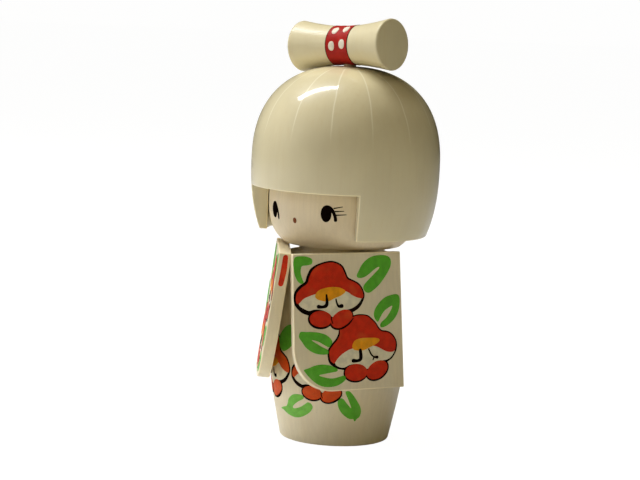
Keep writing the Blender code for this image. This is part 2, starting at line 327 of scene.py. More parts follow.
# each paint's full and thin colour, the slant of its streaks, and its shine
PAINT_COLOURS = {
    "red": ((0.62, 0.028, 0.005, 1.0), (0.70, 0.085, 0.018, 1.0), 1.35),
    "orange": ((0.66, 0.072, 0.005, 1.0), (0.76, 0.16, 0.03, 1.0), 1.2),
    "green": ((0.115, 0.46, 0.032, 1.0), (0.20, 0.55, 0.07, 1.0), 0.9),
    "pale green": ((0.19, 0.54, 0.07, 1.0), (0.38, 0.66, 0.20, 1.0), 0.9),
    "yellow": ((0.86, 0.34, 0.008, 1.0), (0.88, 0.48, 0.05, 1.0), 1.4),
    "white": ((0.80, 0.73, 0.50, 1.0), (0.74, 0.64, 0.42, 1.0), 1.3),
    "black": ((0.004, 0.002, 0.0015, 1.0), (0.018, 0.006, 0.003, 1.0), 0.5, 0.0),
}
paints = {
    name: brush_paint(f"{name} brush paint", *values) for name, values in PAINT_COLOURS.items()
}
red, black = paints["red"], paints["black"]
print("paints:", ", ".join(paints))

# %% [markdown]
# ## From a mesh to a piece of the doll
# Every new piece ends the same way. The head's pieces are modelled looking straight ahead and
# turned at the end, because the lathe and the painter both worked that way. Then the piece rides
# on its body and stands for the part it gives its looks to.

# %% Finish a piece
def piece(bm, name, body, finish, stands_for=(), sharp=32.0, holes=(), weighted=False):
    bmesh.ops.remove_doubles(bm, verts=bm.verts[:], dist=0.0005)
    bmesh.ops.recalc_face_normals(bm, faces=bm.faces[:])
    made = mesh_object(bm, name)
    drill_out(made, holes)
    if body == "head":
        made.data.transform(Matrix.Rotation(HEAD_TURN, 4, "Z"))
    made.data.transform(Matrix.Scale(MM, 4))
    made.data.materials.clear()
    made.data.materials.append(finish.material)
    made.data.shade_smooth()
    made.data.set_sharp_from_angle(angle=math.radians(sharp))
    if weighted:
        made.modifiers.new("even shading", "WEIGHTED_NORMAL").keep_sharp = True
    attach(made, body)
    if stands_for:
        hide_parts(*stands_for)
    print(f"{name}: {len(made.data.polygons)} faces on the {body}")
    return made


def mesh_object(bm, name):
    mesh = bpy.data.meshes.new(name)
    bm.to_mesh(mesh)
    bm.free()
    made = bpy.data.objects.new(name, mesh)
    bpy.context.scene.collection.objects.link(made)
    return made


def drill_out(made, holes):
    """Bores holes, each a closed mesh, and keeps the result as the object's own mesh."""
    cutters = [mesh_object(hole, "hole") for hole in holes]
    for cutter in cutters:
        bore = made.modifiers.new("bore", "BOOLEAN")
        bore.operation = "DIFFERENCE"
        bore.solver = "EXACT"
        bore.object = cutter
    if cutters:
        ready = made.evaluated_get(bpy.context.evaluated_depsgraph_get())
        bored = bpy.data.meshes.new_from_object(ready)
        made.modifiers.clear()
        made.data = bored
    for cutter in cutters:
        bpy.data.objects.remove(cutter)


# %% [markdown]
# A lathe makes a shape by spinning it against a still tool. The mesh is made the same way: a line
# of points from axis to axis is spun about Z, and the doubled points at the poles are merged.
# `arc` rounds a corner of that line, as sandpaper rounds it on the lathe.

# %% The lathe
def spaced(start, end, count):
    return [start + (end - start) * step / (count - 1) for step in range(count)]


def arc(centre, radius, start, end, count=6):
    """Points on a circle about centre, as (radius, height), between two angles in degrees."""
    angles = [math.radians(angle) for angle in spaced(start, end, count)]
    return [(centre[0] + radius * math.cos(a), centre[1] + radius * math.sin(a)) for a in angles]


def turned(profile, steps=LATHE_STEPS):
    bm = bmesh.new()
    verts = [bm.verts.new((radius, 0.0, height)) for radius, height in profile]
    edges = [bm.edges.new(pair) for pair in zip(verts, verts[1:])]
    bmesh.ops.spin(
        bm, geom=verts + edges, cent=(0.0, 0.0, 0.0), axis=(0.0, 0.0, 1.0),
        angle=math.tau, steps=steps, use_merge=True,
    )
    bmesh.ops.remove_doubles(bm, verts=bm.verts[:], dist=0.002)
    return bm


def moved(bm, matrix):
    bmesh.ops.transform(bm, matrix=matrix, verts=bm.verts[:])
    return bm


def rod(radius, low, high, steps=40):
    return turned([(0.0, low), (radius, low), (radius, high), (0.0, high)], steps)


# %% [markdown]
# ## The body
# The body tapers in towards its foot and towards its neck. Its two sides are planed flat where
# the sleeve boards lie against it, so the boards need a frame of their own first: X from front
# to back, Z up the board, and Y through its thickness, with the painted face at Y = 0.

# %% Where the boards lie
def sleeve_frame(side):
    back = Vector((side * math.sin(SLEEVE_HALF_ANGLE), math.cos(SLEEVE_HALF_ANGLE), 0.0))
    outward = Vector((side * math.cos(SLEEVE_HALF_ANGLE), -math.sin(SLEEVE_HALF_ANGLE), 0.0))
    up = Vector((0.0, 0.0, math.cos(SLEEVE_LEAN))) - outward * math.sin(SLEEVE_LEAN)
    board = Matrix((back, up.cross(back), up)).transposed().to_4x4()
    board.translation = Vector((0.0, -SLEEVE_APEX, SLEEVE_TOP))
    return board


def sleeve_holes(side):
    """The dowel holes that a board and the flat behind it share."""
    across = Matrix.Rotation(math.radians(-90.0 * side), 4, "X")
    beside_axis = SLEEVE_APEX * math.cos(SLEEVE_HALF_ANGLE)
    low, high = SLEEVE_THICKNESS - PEG_IN_BOARD, SLEEVE_THICKNESS + GAP + PEG_IN_BODY
    places = [Matrix.Translation((beside_axis, 0.0, -drop)) for drop in SLEEVE_PEG_DROPS]
    return [
        moved(rod(SLEEVE_PEG_RADIUS + PEG_PLAY, low, high), sleeve_frame(side) @ place @ across)
        for place in places
    ]


def plane_off(bm, point, outward):
    """Planes a solid flat, taking away what lies beyond a plane."""
    whole = bm.verts[:] + bm.edges[:] + bm.faces[:]
    cut = bmesh.ops.bisect_plane(
        bm, geom=whole, dist=0.0005, plane_co=point, plane_no=outward, clear_outer=True,
    )
    rim = [part for part in cut["geom_cut"] if isinstance(part, bmesh.types.BMEdge)]
    bmesh.ops.holes_fill(bm, edges=rim, sides=0)


# %% [markdown]
# The body's outline is two straight tapers, blended so that they meet in a soft belly. A scaled
# cylinder could do it, but a spun line puts its rings where the curve needs them. One plane cut
# on each side then gives the flats.

# %% Turn and plane the body
def body_radius(height):
    lower = BASE_RADIUS + BELLY_SLOPE * height
    upper = SHOULDER_RADIUS + SHOULDER_SLOPE * (SHOULDER - height)
    ends = math.exp(-lower / BELLY_BLEND) + math.exp(-upper / BELLY_BLEND)
    return -BELLY_BLEND * math.log(ends)


def body_mesh():
    ease = 0.9
    bore = NECK_PEG_RADIUS + GAP
    bore_foot = BODY_TOP - NECK_HOLE_IN_BODY
    profile = [(0.0, 0.0), (14.0, 0.0)]
    profile += arc((body_radius(ease) - ease, ease), ease, -90.0, 0.0)
    profile += [(body_radius(height), height) for height in spaced(1.8, SHOULDER - 0.6, 62)]
    profile += arc((SHOULDER_RADIUS - 0.6, SHOULDER - 0.4), 0.6, 10.0, 75.0)
    profile += [(NECK_RADIUS + 0.2, NECK_FOOT), (NECK_RADIUS, NECK_FOOT + 0.25)]
    profile += arc((NECK_RADIUS - 0.4, BODY_TOP - 0.4), 0.4, 0.0, 90.0)
    profile += [(bore, BODY_TOP), (bore, bore_foot), (0.0, bore_foot)]
    bm = turned(profile)
    for side in SLEEVE_SIDES.values():
        board = sleeve_frame(side)
        inner = board @ Vector((0.0, side * (SLEEVE_THICKNESS + GAP), 0.0))
        plane_off(bm, inner, board.to_3x3() @ Vector((0.0, -side, 0.0)))
    return bm


body_holes = sleeve_holes(1) + sleeve_holes(-1)
piece(body_mesh(), "turned_body", "torso", body_wood, ["body"], holes=body_holes)
print(f"belly {max(body_radius(z) for z in range(75)) * 2:.1f} mm across")

# %% [markdown]
# ## The sleeves
# Each sleeve is one flat board with a rounded lower front corner, cut by eye, so the two differ.
# Their front edges fall back a little towards the inside, and are trimmed at the top where the
# boards meet. The arrises are broken with sandpaper, and that thin bright edge is what makes a
# board look sawn and not moulded. Its narrow faces are also painted lighter, for wear and as a
# painted highlight.

# %% Saw the boards
ARRIS = 0.45                  # how far a sawn edge is rounded


def sleeve_mesh(side_name, side):
    front, back = SLEEVE_SETBACK, SLEEVE_SETBACK + SLEEVE_LENGTH
    corner = SLEEVE_CORNERS[side_name]
    outline = arc((front + corner, corner - SLEEVE_HEIGHT), corner, 180.0, 270.0, 33)
    outline += [(back + SLEEVE_FLARE, -SLEEVE_HEIGHT), (back, 0.0), (front, 0.0)]
    bm = bmesh.new()
    face = bm.faces.new([bm.verts.new((x, 0.0, z)) for x, z in outline])
    walls = bmesh.ops.extrude_face_region(bm, geom=[face])
    inner = [part for part in walls["geom"] if isinstance(part, bmesh.types.BMVert)]
    for vert in inner:
        share = max(0.0, (front + corner - vert.co.x) / corner)
        vert.co += Vector((SLEEVE_MITRE * share, side * SLEEVE_THICKNESS, 0.0))
    board = sleeve_frame(side)
    meeting = board.inverted() @ Vector((side * GAP / 2, 0.0, 0.0))
    plane_off(bm, meeting, board.to_3x3().inverted() @ Vector((-side, 0.0, 0.0)))
    bmesh.ops.recalc_face_normals(bm, faces=bm.faces[:])
    break_edges(bm, ARRIS, 25.0)
    return moved(bm, board)


def break_edges(bm, width, least):
    """Rounds every outer corner that is sharper than least degrees, and marks its faces for the
    painted wear and highlight.
    """
    wear_and_highlight = bm.faces.layers.float.new(WEAR_AND_HIGHLIGHT)
    sharp = [edge for edge in bm.edges if edge.calc_face_angle_signed(0.0) > math.radians(least)]
    rounded = bmesh.ops.bevel(
        bm, geom=sharp, offset=width, segments=3, profile=0.5, affect="EDGES", material=-1,
        clamp_overlap=True,
    )
    for face in rounded["faces"]:
        face[wear_and_highlight] = 1.0


for side_name, side in SLEEVE_SIDES.items():
    piece(
        sleeve_mesh(side_name, side), f"{side_name}_board", "torso", board_wood,
        [f"sleeve_{side_name}"], holes=sleeve_holes(side), weighted=True,
    )

# %% [markdown]
# ## The face
# The face is the front of the head's core. Below its middle the core is a bowl that draws in to
# the neck, and above it a half ball that the hair cap hides. A hole in its foot takes the neck
# peg, and the head turns with it.

# %% Turn the head's core
def face_radius(height):
    if height > FACE_MIDDLE:
        return math.sqrt(FACE_RADIUS**2 - (height - FACE_MIDDLE) ** 2)
    fall = (FACE_MIDDLE - height) / FACE_DEPTH
    return FACE_RADIUS * (1.0 - fall**FACE_ROUNDNESS) ** (1.0 / FACE_ROUNDNESS)


def face_mesh():
    seat = BODY_TOP + GAP
    bore = NECK_PEG_RADIUS + PEG_PLAY
    bore_top = seat + NECK_HOLE_IN_HEAD
    bowl = [(face_radius(height), height) for height in spaced(seat + 0.35, FACE_MIDDLE, 40)]
    foot = [(bowl[0][0] - 0.6, seat), (bowl[0][0] - 0.25, seat + 0.1)]
    profile = [(0.0, bore_top), (bore, bore_top), (bore, seat)] + foot
    profile += bowl + arc((0.0, FACE_MIDDLE), FACE_RADIUS, 3.0, 87.0, 29)
    profile += [(0.0, FACE_MIDDLE + FACE_RADIUS)]
    return turned(profile)


piece(face_mesh(), "face_core", "head", face_wood, ["face"])

# %% [markdown]
# ## The hair cap
# The cap is a thick turned shell. The window for the face is sawn out afterwards, which leaves a
# straight fringe and two locks. Here the whole shell is spun, the faces in the window are taken
# away, and the two open edges are bridged, which gives cleaner edges to round than a Boolean.

# %% Turn the shell
def side_radius(height):
    fall = (HAIR_WIDEST - height) / (HAIR_WIDEST - HAIR_RIM)
    return HAIR_RADIUS - (HAIR_RADIUS - HAIR_RIM_RADIUS) * fall**SIDE_ROUNDNESS


def crown_point(angle):
    power = 2.0 / CROWN_ROUNDNESS
    rise = (HAIR_CROWN - HAIR_WIDEST) * math.sin(angle) ** power
    return HAIR_RADIUS * math.cos(angle) ** power, HAIR_WIDEST + rise


HAIR_INSIDE = FACE_RADIUS + GAP


def inside_radius(height):
    return math.sqrt(HAIR_INSIDE**2 - max(height - FACE_MIDDLE, 0.0) ** 2)


def hair_shell():
    bore = BUN_PEG_RADIUS + PEG_PLAY
    bore_foot = HAIR_CROWN - BUN_HOLE_IN_CAP
    window_heights = spaced(HAIR_RIM, FRINGE, 13)
    dome = math.degrees(math.asin((FRINGE - FACE_MIDDLE) / HAIR_INSIDE))
    profile = [(0.0, FACE_MIDDLE + HAIR_INSIDE)]
    profile += arc((0.0, FACE_MIDDLE), HAIR_INSIDE, 88.0, dome + 3.0, 26)
    profile += [(inside_radius(height), height) for height in reversed(window_heights)]
    profile += [(side_radius(height), height) for height in window_heights]
    profile += [(side_radius(height), height) for height in spaced(FRINGE, HAIR_WIDEST, 8)[1:]]
    profile += [crown_point(math.radians(angle)) for angle in spaced(0.0, 86.0, 44)[1:]]
    crown_height = profile[-1][1]
    profile += [(bore, crown_height), (bore, bore_foot), (0.0, bore_foot)]
    return turned(profile)


# %% [markdown]
# The window spans whole steps of the lathe, so its sides are straight rows of faces that can
# simply be taken away. Bridging the outer wall's open edge to the inner one closes the shell.

# %% Saw out the window
WINDOW_STEPS = 26
WINDOW_HALF_ANGLE = math.tau * WINDOW_STEPS / LATHE_STEPS


def heading(point):
    """The angle of a point about the turning axis, from straight ahead towards the doll's left."""
    return math.atan2(point.x, -point.y)


def in_window(face):
    centre = face.calc_center_median()
    return centre.z < FRINGE - 0.01 and abs(heading(centre)) < WINDOW_HALF_ANGLE


def hair_mesh():
    bm = hair_shell()
    window = [face for face in bm.faces if in_window(face)]
    bmesh.ops.delete(bm, geom=window, context="FACES")
    open_edges = [edge for edge in bm.edges if edge.is_boundary]
    rings = [[], []]
    for edge in open_edges:
        reaches = [vert.co.xy.length for vert in edge.verts]
        across_rim = abs(reaches[0] - reaches[1]) > 1.5
        if not across_rim:
            outer = sum(reaches) / 2 > HAIR_INSIDE + 1.0
            rings[outer].append(edge)
    bmesh.ops.bridge_loops(bm, edges=rings[0] + rings[1])
    bmesh.ops.recalc_face_normals(bm, faces=bm.faces[:])
    break_edges(bm, ARRIS, 50.0)
    return bm


piece(hair_mesh(), "hair_shell", "head", hair_lacquer, ["hair_cap"], 40.0)
print(f"window {math.degrees(WINDOW_HALF_ANGLE) * 2:.1f} degrees wide")

# %% [markdown]
# ## The bun
# The bun is a waisted spool that lies across the crown on a peg, tilted a little. It is turned
# about its own axis first, with its ends' edges eased, and then laid in place.

# %% Turn the bun and lay it down
def bun_radius(along):
    flare = abs(along / BUN_HALF_LENGTH) ** 1.8
    return BUN_WAIST_RADIUS + (BUN_END_RADIUS - BUN_WAIST_RADIUS) * flare


BUN_LIE = (
    Matrix.Translation((0.0, 0.0, BUN_MIDDLE))
    @ Matrix.Rotation(math.pi / 2 - BUN_TILT, 4, "Y")
    @ Matrix.Translation((0.0, 0.0, BUN_SHIFT))
)


def bun_mesh():
    half, ease = BUN_HALF_LENGTH, 0.8
    shoulder = bun_radius(half - ease) - ease
    profile = [(0.0, -half), (shoulder * 0.5, -half)]
    profile += arc((shoulder, ease - half), ease, -90.0, 0.0)
    profile += [(bun_radius(along), along) for along in spaced(1.6 - half, half - 1.6, 45)]
    profile += arc((shoulder, half - ease), ease, 0.0, 90.0)
    profile += [(shoulder * 0.5, half), (0.0, half)]
    return moved(turned(profile, 128), BUN_LIE)


bun_hole = rod(BUN_PEG_RADIUS + PEG_PLAY, HAIR_CROWN - 2.0, HAIR_CROWN + BUN_HOLE_IN_SPOOL)
piece(bun_mesh(), "bun_spool", "head", bun_lacquer, ["bun"], holes=[bun_hole])

# %% [markdown]
# The dowels are plain rods, and the turned parts already have their shape. They keep their
# meshes and only get their wood.

# %% Give the dowels their wood
for name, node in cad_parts.items():
    if "peg" in name:
        node.data.materials.clear()
        node.data.materials.append(dowel_wood.material)
        print(name, "is", dowel_wood.material.name)

# %% [markdown]
# ## Brushwork
# A brush leaves a thin film with a smooth outline. Each film starts as a few points that a
# painter would aim for, joined by a smooth closed curve. The flat shape is thickened, its top
# edge is softened, and its underside is sunk a little into the wood, so that nothing floats.
# Later coats lie higher: black first, then white, red, yellow, and the dark stamens last.

# %% Outlines
SUNK = 0.06


def eased(points, steps=5, closed=True):
    """A smooth curve through points, with steps segments between neighbours (Catmull-Rom)."""
    count = len(points)
    curve = []
    for index in range(count if closed else count - 1):
        ring = []
        for offset in (-1, 0, 1, 2):
            place = (index + offset) % count if closed else min(max(index + offset, 0), count - 1)
            ring.append(Vector(points[place]))
        before, start, end, after = ring
        for step in range(steps):
            t = step / steps
            pull = (end - before) * 0.5, (after - start) * 0.5
            bend = start * (2 * t**3 - 3 * t**2 + 1) + end * (3 * t**2 - 2 * t**3)
            curve.append(bend + pull[0] * (t**3 - 2 * t**2 + t) + pull[1] * (t**3 - t**2))
    if not closed:
        curve.append(Vector(points[-1]))
    return curve


def oval(centre, width, height, turn=0.0, count=36):
    """An ellipse from its two half sizes, turned anticlockwise by turn degrees."""
    slant = Matrix.Rotation(math.radians(turn), 2)
    angles = [math.tau * step / count for step in range(count)]
    arms = [Vector((width * math.cos(a), height * math.sin(a))) for a in angles]
    return [Vector(centre) + slant @ arm for arm in arms]


def stroke(points, widths, steps=6):
    """The outline of one brush stroke: a path of points, and how wide the brush is at each."""
    path = eased([(*point, width) for point, width in zip(points, widths)], steps, closed=False)
    left, right = [], []
    for index, spot in enumerate(path):
        ahead = path[min(index + 1, len(path) - 1)].xy - path[max(index - 1, 0)].xy
        aside = Vector((-ahead.y, ahead.x)).normalized() * spot.z / 2
        left.append(spot.xy + aside)
        right.append(spot.xy - aside)
    return left + cap(path[-1], left[-1]) + right[::-1] + cap(path[0], right[0])


def cap(end, start):
    """The rounded end of a stroke, clockwise from start about the end of its path."""
    arm = start - end.xy
    return [end.xy + Matrix.Rotation(-math.pi * step / 6, 2) @ arm for step in range(1, 6)]


# %% [markdown]
# A film is an outline's flat face, extruded by the paint's thickness. Colour alone would lie
# dead flat, while a film with an eased rim catches the light as thick paint does.

# %% Films of paint
def film(outline, height):
    """A flat film from an outline, thick from just under the wood's surface up to height."""
    bm = bmesh.new()
    face = bm.faces.new([bm.verts.new((*point[:2], -SUNK)) for point in outline])
    walls = bmesh.ops.extrude_face_region(bm, geom=[face])
    top = [part for part in walls["geom"] if isinstance(part, bmesh.types.BMVert)]
    bmesh.ops.translate(bm, verts=top, vec=(0.0, 0.0, SUNK + height))
    bmesh.ops.recalc_face_normals(bm, faces=bm.faces[:])
    rim = [edge for edge in bm.edges if all(vert.co.z > 0.0 for vert in edge.verts)]
    bmesh.ops.bevel(
        bm, geom=rim, offset=min(0.05, height * 0.5), segments=2, profile=0.5,
        affect="EDGES", material=-1, clamp_overlap=True,
    )
    bmesh.ops.triangulate(bm, faces=[face for face in bm.faces if len(face.verts) > 4])
    return bm


def merged(meshes):
    """Several meshes as one."""
    bm = bmesh.new()
    for part in meshes:
        patch = bpy.data.meshes.new("patch")
        part.to_mesh(patch)
        part.free()
        bm.from_mesh(patch)
        bpy.data.meshes.remove(patch)
    return bm


def coat(outlines, height):
    """Several films of one colour in one mesh, each a hair higher than the one before."""
    step = 0.006
    return merged([film(outline, height + step * place) for place, outline in enumerate(outlines)])


# each coat's height in millimetres, its slot, and its paint
COATS = {
    "green": (0.10, "green_paint", paints["green"]),
    "pale_green": (0.10, "green_paint", paints["pale green"]),
    "black": (0.09, "black_paint", black),
    "white": (0.13, "white_paint", paints["white"]),
    "red": (0.17, "red_paint", red),
    "yellow": (0.21, "yellow_paint", paints["yellow"]),
    "stamens": (0.25, "black_paint", black),
}

# %% [markdown]
# A camellia has five parts: a broad red cap with three lobes, the white inside of the petals, a
# yellow heart, two dark stamens, and two round petals below. All of it is painted over a black
# silhouette that is a little larger, and what is left of the black is the outline. Where a lower
# petal lies over its neighbour, its edge is drawn again with the stamens. Measures are
# millimetres back along the board and down from its top.

# %% Flowers
UPPER_FLOWER = {
    "black": [
        eased([
            (16.8, 3.0), (20.2, 3.5), (22.7, 5.0), (24.1, 7.4), (25.2, 9.6), (28.0, 11.0),
            (30.2, 12.3), (31.7, 14.5), (32.4, 16.9), (31.5, 19.5), (29.7, 21.8), (27.0, 23.3),
            (24.0, 24.5), (17.0, 25.5), (11.0, 24.4), (7.2, 23.8), (4.2, 22.6), (1.6, 20.0),
            (1.0, 17.3), (1.4, 14.7), (3.4, 12.4), (6.0, 10.8), (6.9, 8.6), (8.5, 5.9),
            (11.8, 4.1),
        ]),
        oval((12.6, 25.5), 5.6, 3.9, 4.0),
        oval((21.9, 25.8), 5.6, 3.9, -24.0),
    ],
    "white": [
        eased([
            (3.2, 18.6), (5.1, 16.6), (8.5, 15.0), (17.0, 13.4), (25.0, 14.4), (28.5, 16.4),
            (31.0, 17.4), (30.4, 19.0), (28.7, 20.7), (26.2, 21.9), (23.2, 22.4), (21.0, 23.6),
            (18.6, 24.9), (16.8, 24.2), (15.2, 22.8), (12.6, 21.9), (9.8, 21.7), (7.6, 22.1),
            (5.3, 21.2), (3.5, 20.0),
        ]),
    ],
    "red": [
        eased([
            (16.8, 3.6), (20.0, 4.1), (22.2, 5.5), (23.5, 7.8), (24.7, 10.2), (27.7, 11.5),
            (29.8, 12.8), (31.2, 14.8), (31.8, 16.8), (31.2, 18.0), (29.2, 17.7), (26.8, 16.7),
            (23.8, 15.0), (17.0, 14.4), (10.5, 15.7), (7.2, 16.6), (5.1, 17.5), (2.9, 19.3),
            (2.0, 18.4), (1.9, 16.8), (2.5, 14.9), (4.4, 13.1), (7.0, 11.4), (8.0, 8.9),
            (9.4, 6.5), (12.1, 4.7),
        ]),
        oval((12.7, 25.4), 4.95, 3.15, 4.0),
        oval((22.0, 25.7), 5.0, 3.2, -24.0),
    ],
    "yellow": [eased([
        (10.4, 16.0), (12.4, 14.1), (16.8, 13.2), (21.2, 13.5), (23.8, 15.0), (21.8, 16.6),
        (18.8, 17.6), (16.0, 18.7), (12.8, 18.3), (10.8, 17.4),
    ])],
    "stamens": [
        stroke([
            (15.3, 16.2), (15.5, 19.0), (15.0, 20.4), (13.4, 20.8), (11.7, 20.6),
        ], [0.8, 1.3, 1.4, 1.1, 1.5]),
        stroke([(19.5, 18.0), (19.8, 19.3), (20.6, 20.7), (22.0, 20.7)], [0.6, 0.7, 1.0, 1.6]),
        stroke([(19.7, 29.7), (22.2, 29.3), (25.0, 27.8), (27.0, 25.7)], [0.4, 0.75, 0.75, 0.4]),
        stroke([(17.2, 24.6), (17.4, 26.0), (17.9, 27.4)], [0.35, 0.5, 0.35]),
    ],
}
LOWER_FLOWER = {
    "black": [
        eased([
            (30.4, 24.2), (33.6, 24.7), (35.7, 26.2), (37.4, 27.8), (38.6, 29.6), (40.0, 30.8),
            (42.3, 31.2), (44.4, 32.2), (46.1, 34.2), (46.8, 36.5), (46.4, 39.2), (44.8, 41.7),
            (43.0, 43.0), (38.0, 45.5), (32.5, 46.6), (26.0, 46.4), (22.4, 45.7), (20.1, 45.2),
            (17.8, 44.1), (16.1, 42.5), (15.5, 40.2), (15.6, 37.8), (17.1, 35.6), (19.2, 33.5),
            (20.4, 31.4), (20.9, 29.6), (24.6, 26.0), (27.2, 24.6),
        ]),
        oval((27.9, 47.0), 5.5, 3.9, 0.0),
        oval((37.6, 46.5), 5.6, 3.9, -26.0),
    ],
    "white": [
        eased([
            (19.0, 41.8), (21.5, 38.8), (25.0, 36.8), (32.0, 35.2), (38.5, 36.2), (42.0, 38.4),
            (45.6, 38.6), (44.6, 40.9), (42.6, 42.4), (39.4, 42.9), (36.6, 43.6), (34.5, 45.1),
            (32.8, 45.7), (30.8, 44.2), (28.0, 43.6), (25.1, 43.9), (22.6, 44.8), (20.6, 44.5),
            (18.9, 43.4),
        ]),
    ],
    "red": [
        eased([
            (30.4, 24.6), (33.4, 25.1), (35.4, 26.6), (37.0, 28.1), (38.2, 30.0), (39.8, 31.3),
            (42.2, 31.7), (44.1, 32.7), (45.6, 34.5), (46.2, 36.5), (45.7, 38.9), (44.4, 39.6),
            (42.2, 39.4), (40.1, 38.5), (38.0, 37.4), (36.3, 36.9), (31.0, 36.0), (26.8, 37.4),
            (24.7, 38.0), (21.8, 39.5), (19.8, 41.2), (18.3, 42.9), (16.8, 41.9), (16.3, 40.0),
            (16.3, 37.9), (17.7, 36.0), (19.8, 33.9), (21.0, 31.7), (21.3, 29.2), (24.8, 26.3),
            (27.4, 25.0),
        ]),
        oval((28.0, 46.9), 5.05, 3.3, 0.0),
        oval((37.5, 46.4), 5.0, 3.3, -26.0),
    ],
    "yellow": [eased([
        (26.4, 36.6), (27.4, 34.6), (30.0, 33.7), (34.0, 33.6), (37.8, 33.9), (38.8, 34.9),
        (37.0, 36.3), (34.2, 37.4), (31.8, 38.3), (29.0, 38.4), (27.0, 37.9),
    ])],
    "stamens": [
        stroke([
            (30.0, 38.3), (30.2, 40.4), (30.0, 41.8), (28.8, 42.4), (26.8, 42.3),
        ], [1.3, 1.5, 1.4, 1.1, 1.5]),
        stroke([(33.8, 38.0), (34.9, 40.2), (36.2, 41.2), (37.6, 41.4)], [0.6, 0.6, 0.7, 1.2]),
        stroke([(36.2, 41.2), (35.7, 42.3)], [0.6, 0.5]),
    ],
}

# %% [markdown]
# Each leaf is one loop of the brush that leaves a sliver of bare wood for its vein. The sliver is
# open at the stalk, so a leaf is a single outline that runs in along one side of the vein and out
# along the other.

# %% Leaves on the sleeves
LEAVES = {
    "hook": [
        (2.0, 1.2), (4.3, 0.9), (6.8, 1.1), (8.9, 1.9), (9.4, 3.0), (8.9, 4.1), (7.0, 4.5),
        (4.9, 4.7), (4.3, 6.0), (4.3, 7.8), (4.9, 9.8), (5.4, 11.1), (4.2, 11.5), (2.7, 10.3),
        (1.6, 8.0), (1.2, 5.3), (1.2, 2.8),
    ],
    "top": [
        (29.0, 9.1), (29.8, 10.0), (31.3, 10.0), (33.0, 9.5), (35.1, 8.2), (37.2, 6.7),
        (38.9, 5.9), (39.2, 6.5), (37.6, 8.0), (35.5, 9.8), (33.4, 11.6), (32.1, 13.1),
        (32.0, 14.4), (33.1, 15.7), (34.8, 15.9), (36.8, 14.7), (39.0, 13.0), (41.2, 10.6),
        (43.0, 8.2), (44.3, 5.9), (44.6, 3.9), (43.9, 2.3), (42.2, 1.5), (39.3, 1.3), (35.9, 1.8),
        (33.3, 3.1), (31.3, 5.0), (30.0, 7.1),
    ],
    "back": [
        (37.9, 27.4), (36.7, 25.8), (36.5, 24.0), (37.4, 21.9), (39.2, 19.8), (41.7, 18.0),
        (44.7, 17.1), (47.2, 17.0), (48.2, 18.2), (48.3, 20.3), (47.8, 23.2), (46.5, 25.7),
        (44.6, 27.7), (42.2, 29.2), (40.2, 29.8), (39.3, 29.3), (39.7, 27.9), (42.1, 26.0),
        (44.0, 23.6), (44.9, 21.8), (44.4, 21.5), (41.3, 23.3), (39.3, 25.9), (38.6, 27.2),
    ],
    "middle": [
        (3.0, 31.6), (3.8, 30.1), (6.3, 30.2), (8.8, 30.3), (11.8, 30.7), (14.7, 31.6),
        (16.7, 33.0), (17.6, 34.4), (17.1, 35.7), (16.1, 36.5), (15.2, 36.2), (13.4, 35.2),
        (11.3, 34.1), (8.8, 33.4), (8.9, 33.8), (10.9, 35.0), (13.0, 36.3), (15.0, 37.2),
        (15.8, 38.0), (15.5, 39.1), (13.4, 39.3), (10.5, 38.8), (8.0, 37.7), (5.9, 36.1),
        (4.3, 34.0), (3.3, 32.6),
    ],
    "foot": [
        (5.0, 44.8), (7.2, 44.2), (9.7, 43.4), (12.6, 43.1), (15.5, 43.4), (18.0, 44.2),
        (19.8, 45.3), (19.4, 46.1), (18.0, 46.3), (14.7, 46.7), (11.8, 47.1), (12.2, 47.6),
        (15.5, 48.5), (18.0, 48.7), (20.9, 48.2), (22.8, 48.0), (23.3, 49.3), (21.7, 50.7),
        (19.2, 51.7), (16.3, 52.0), (13.4, 51.7), (10.9, 50.7), (8.8, 49.2), (7.0, 47.5),
        (5.6, 45.9),
    ],
}
FOOT_LEAF_SHIFT = {"left": (0.0, 0.0), "right": (4.2, -1.4)}   # clear of the rounder corner


def leaf_outlines(side_name):
    shapes = []
    for name, points in LEAVES.items():
        shift = Vector(FOOT_LEAF_SHIFT[side_name] if name == "foot" else (0.0, 0.0))
        shapes.append(eased([Vector(point) + shift for point in points]))
    return shapes


print(len(LEAVES), "leaves on each board")


# %% [markdown]
# The films are laid on each board by its own frame. The right board's frame is the left one's
# mirror image, so its painting is mirrored too, as a painter would pair them.

# %% Paint the boards
def onto_board(bm, side):
    """Lays flat films on a board's outer face."""
    lay = Matrix.Identity(4)
    lay.col[0] = (1.0, 0.0, 0.0, 0.0)
    lay.col[1] = (0.0, 0.0, -1.0, 0.0)
    lay.col[2] = (0.0, -side, 0.0, 0.0)
    lay.col[3] = (PAINTING_START, 0.0, 0.0, 1.0)
    return moved(bm, sleeve_frame(side) @ lay)


for side_name, side in SLEEVE_SIDES.items():
    coats = {colour: UPPER_FLOWER[colour] + LOWER_FLOWER[colour] for colour in UPPER_FLOWER}
    coats["green"] = leaf_outlines(side_name)
    for colour, outlines in coats.items():
        height, slot, finish = COATS[colour]
        films = onto_board(coat(outlines, height), side)
        name = f"{side_name}_sleeve_{colour}"
        piece(films, name, "torso", finish, sharp=60.0, weighted=True)

# %% [markdown]
# The right board's front edge carries one upright stroke of red, like the lining of a kimono. It
# lies on that slanting edge, so it has its own little frame there.

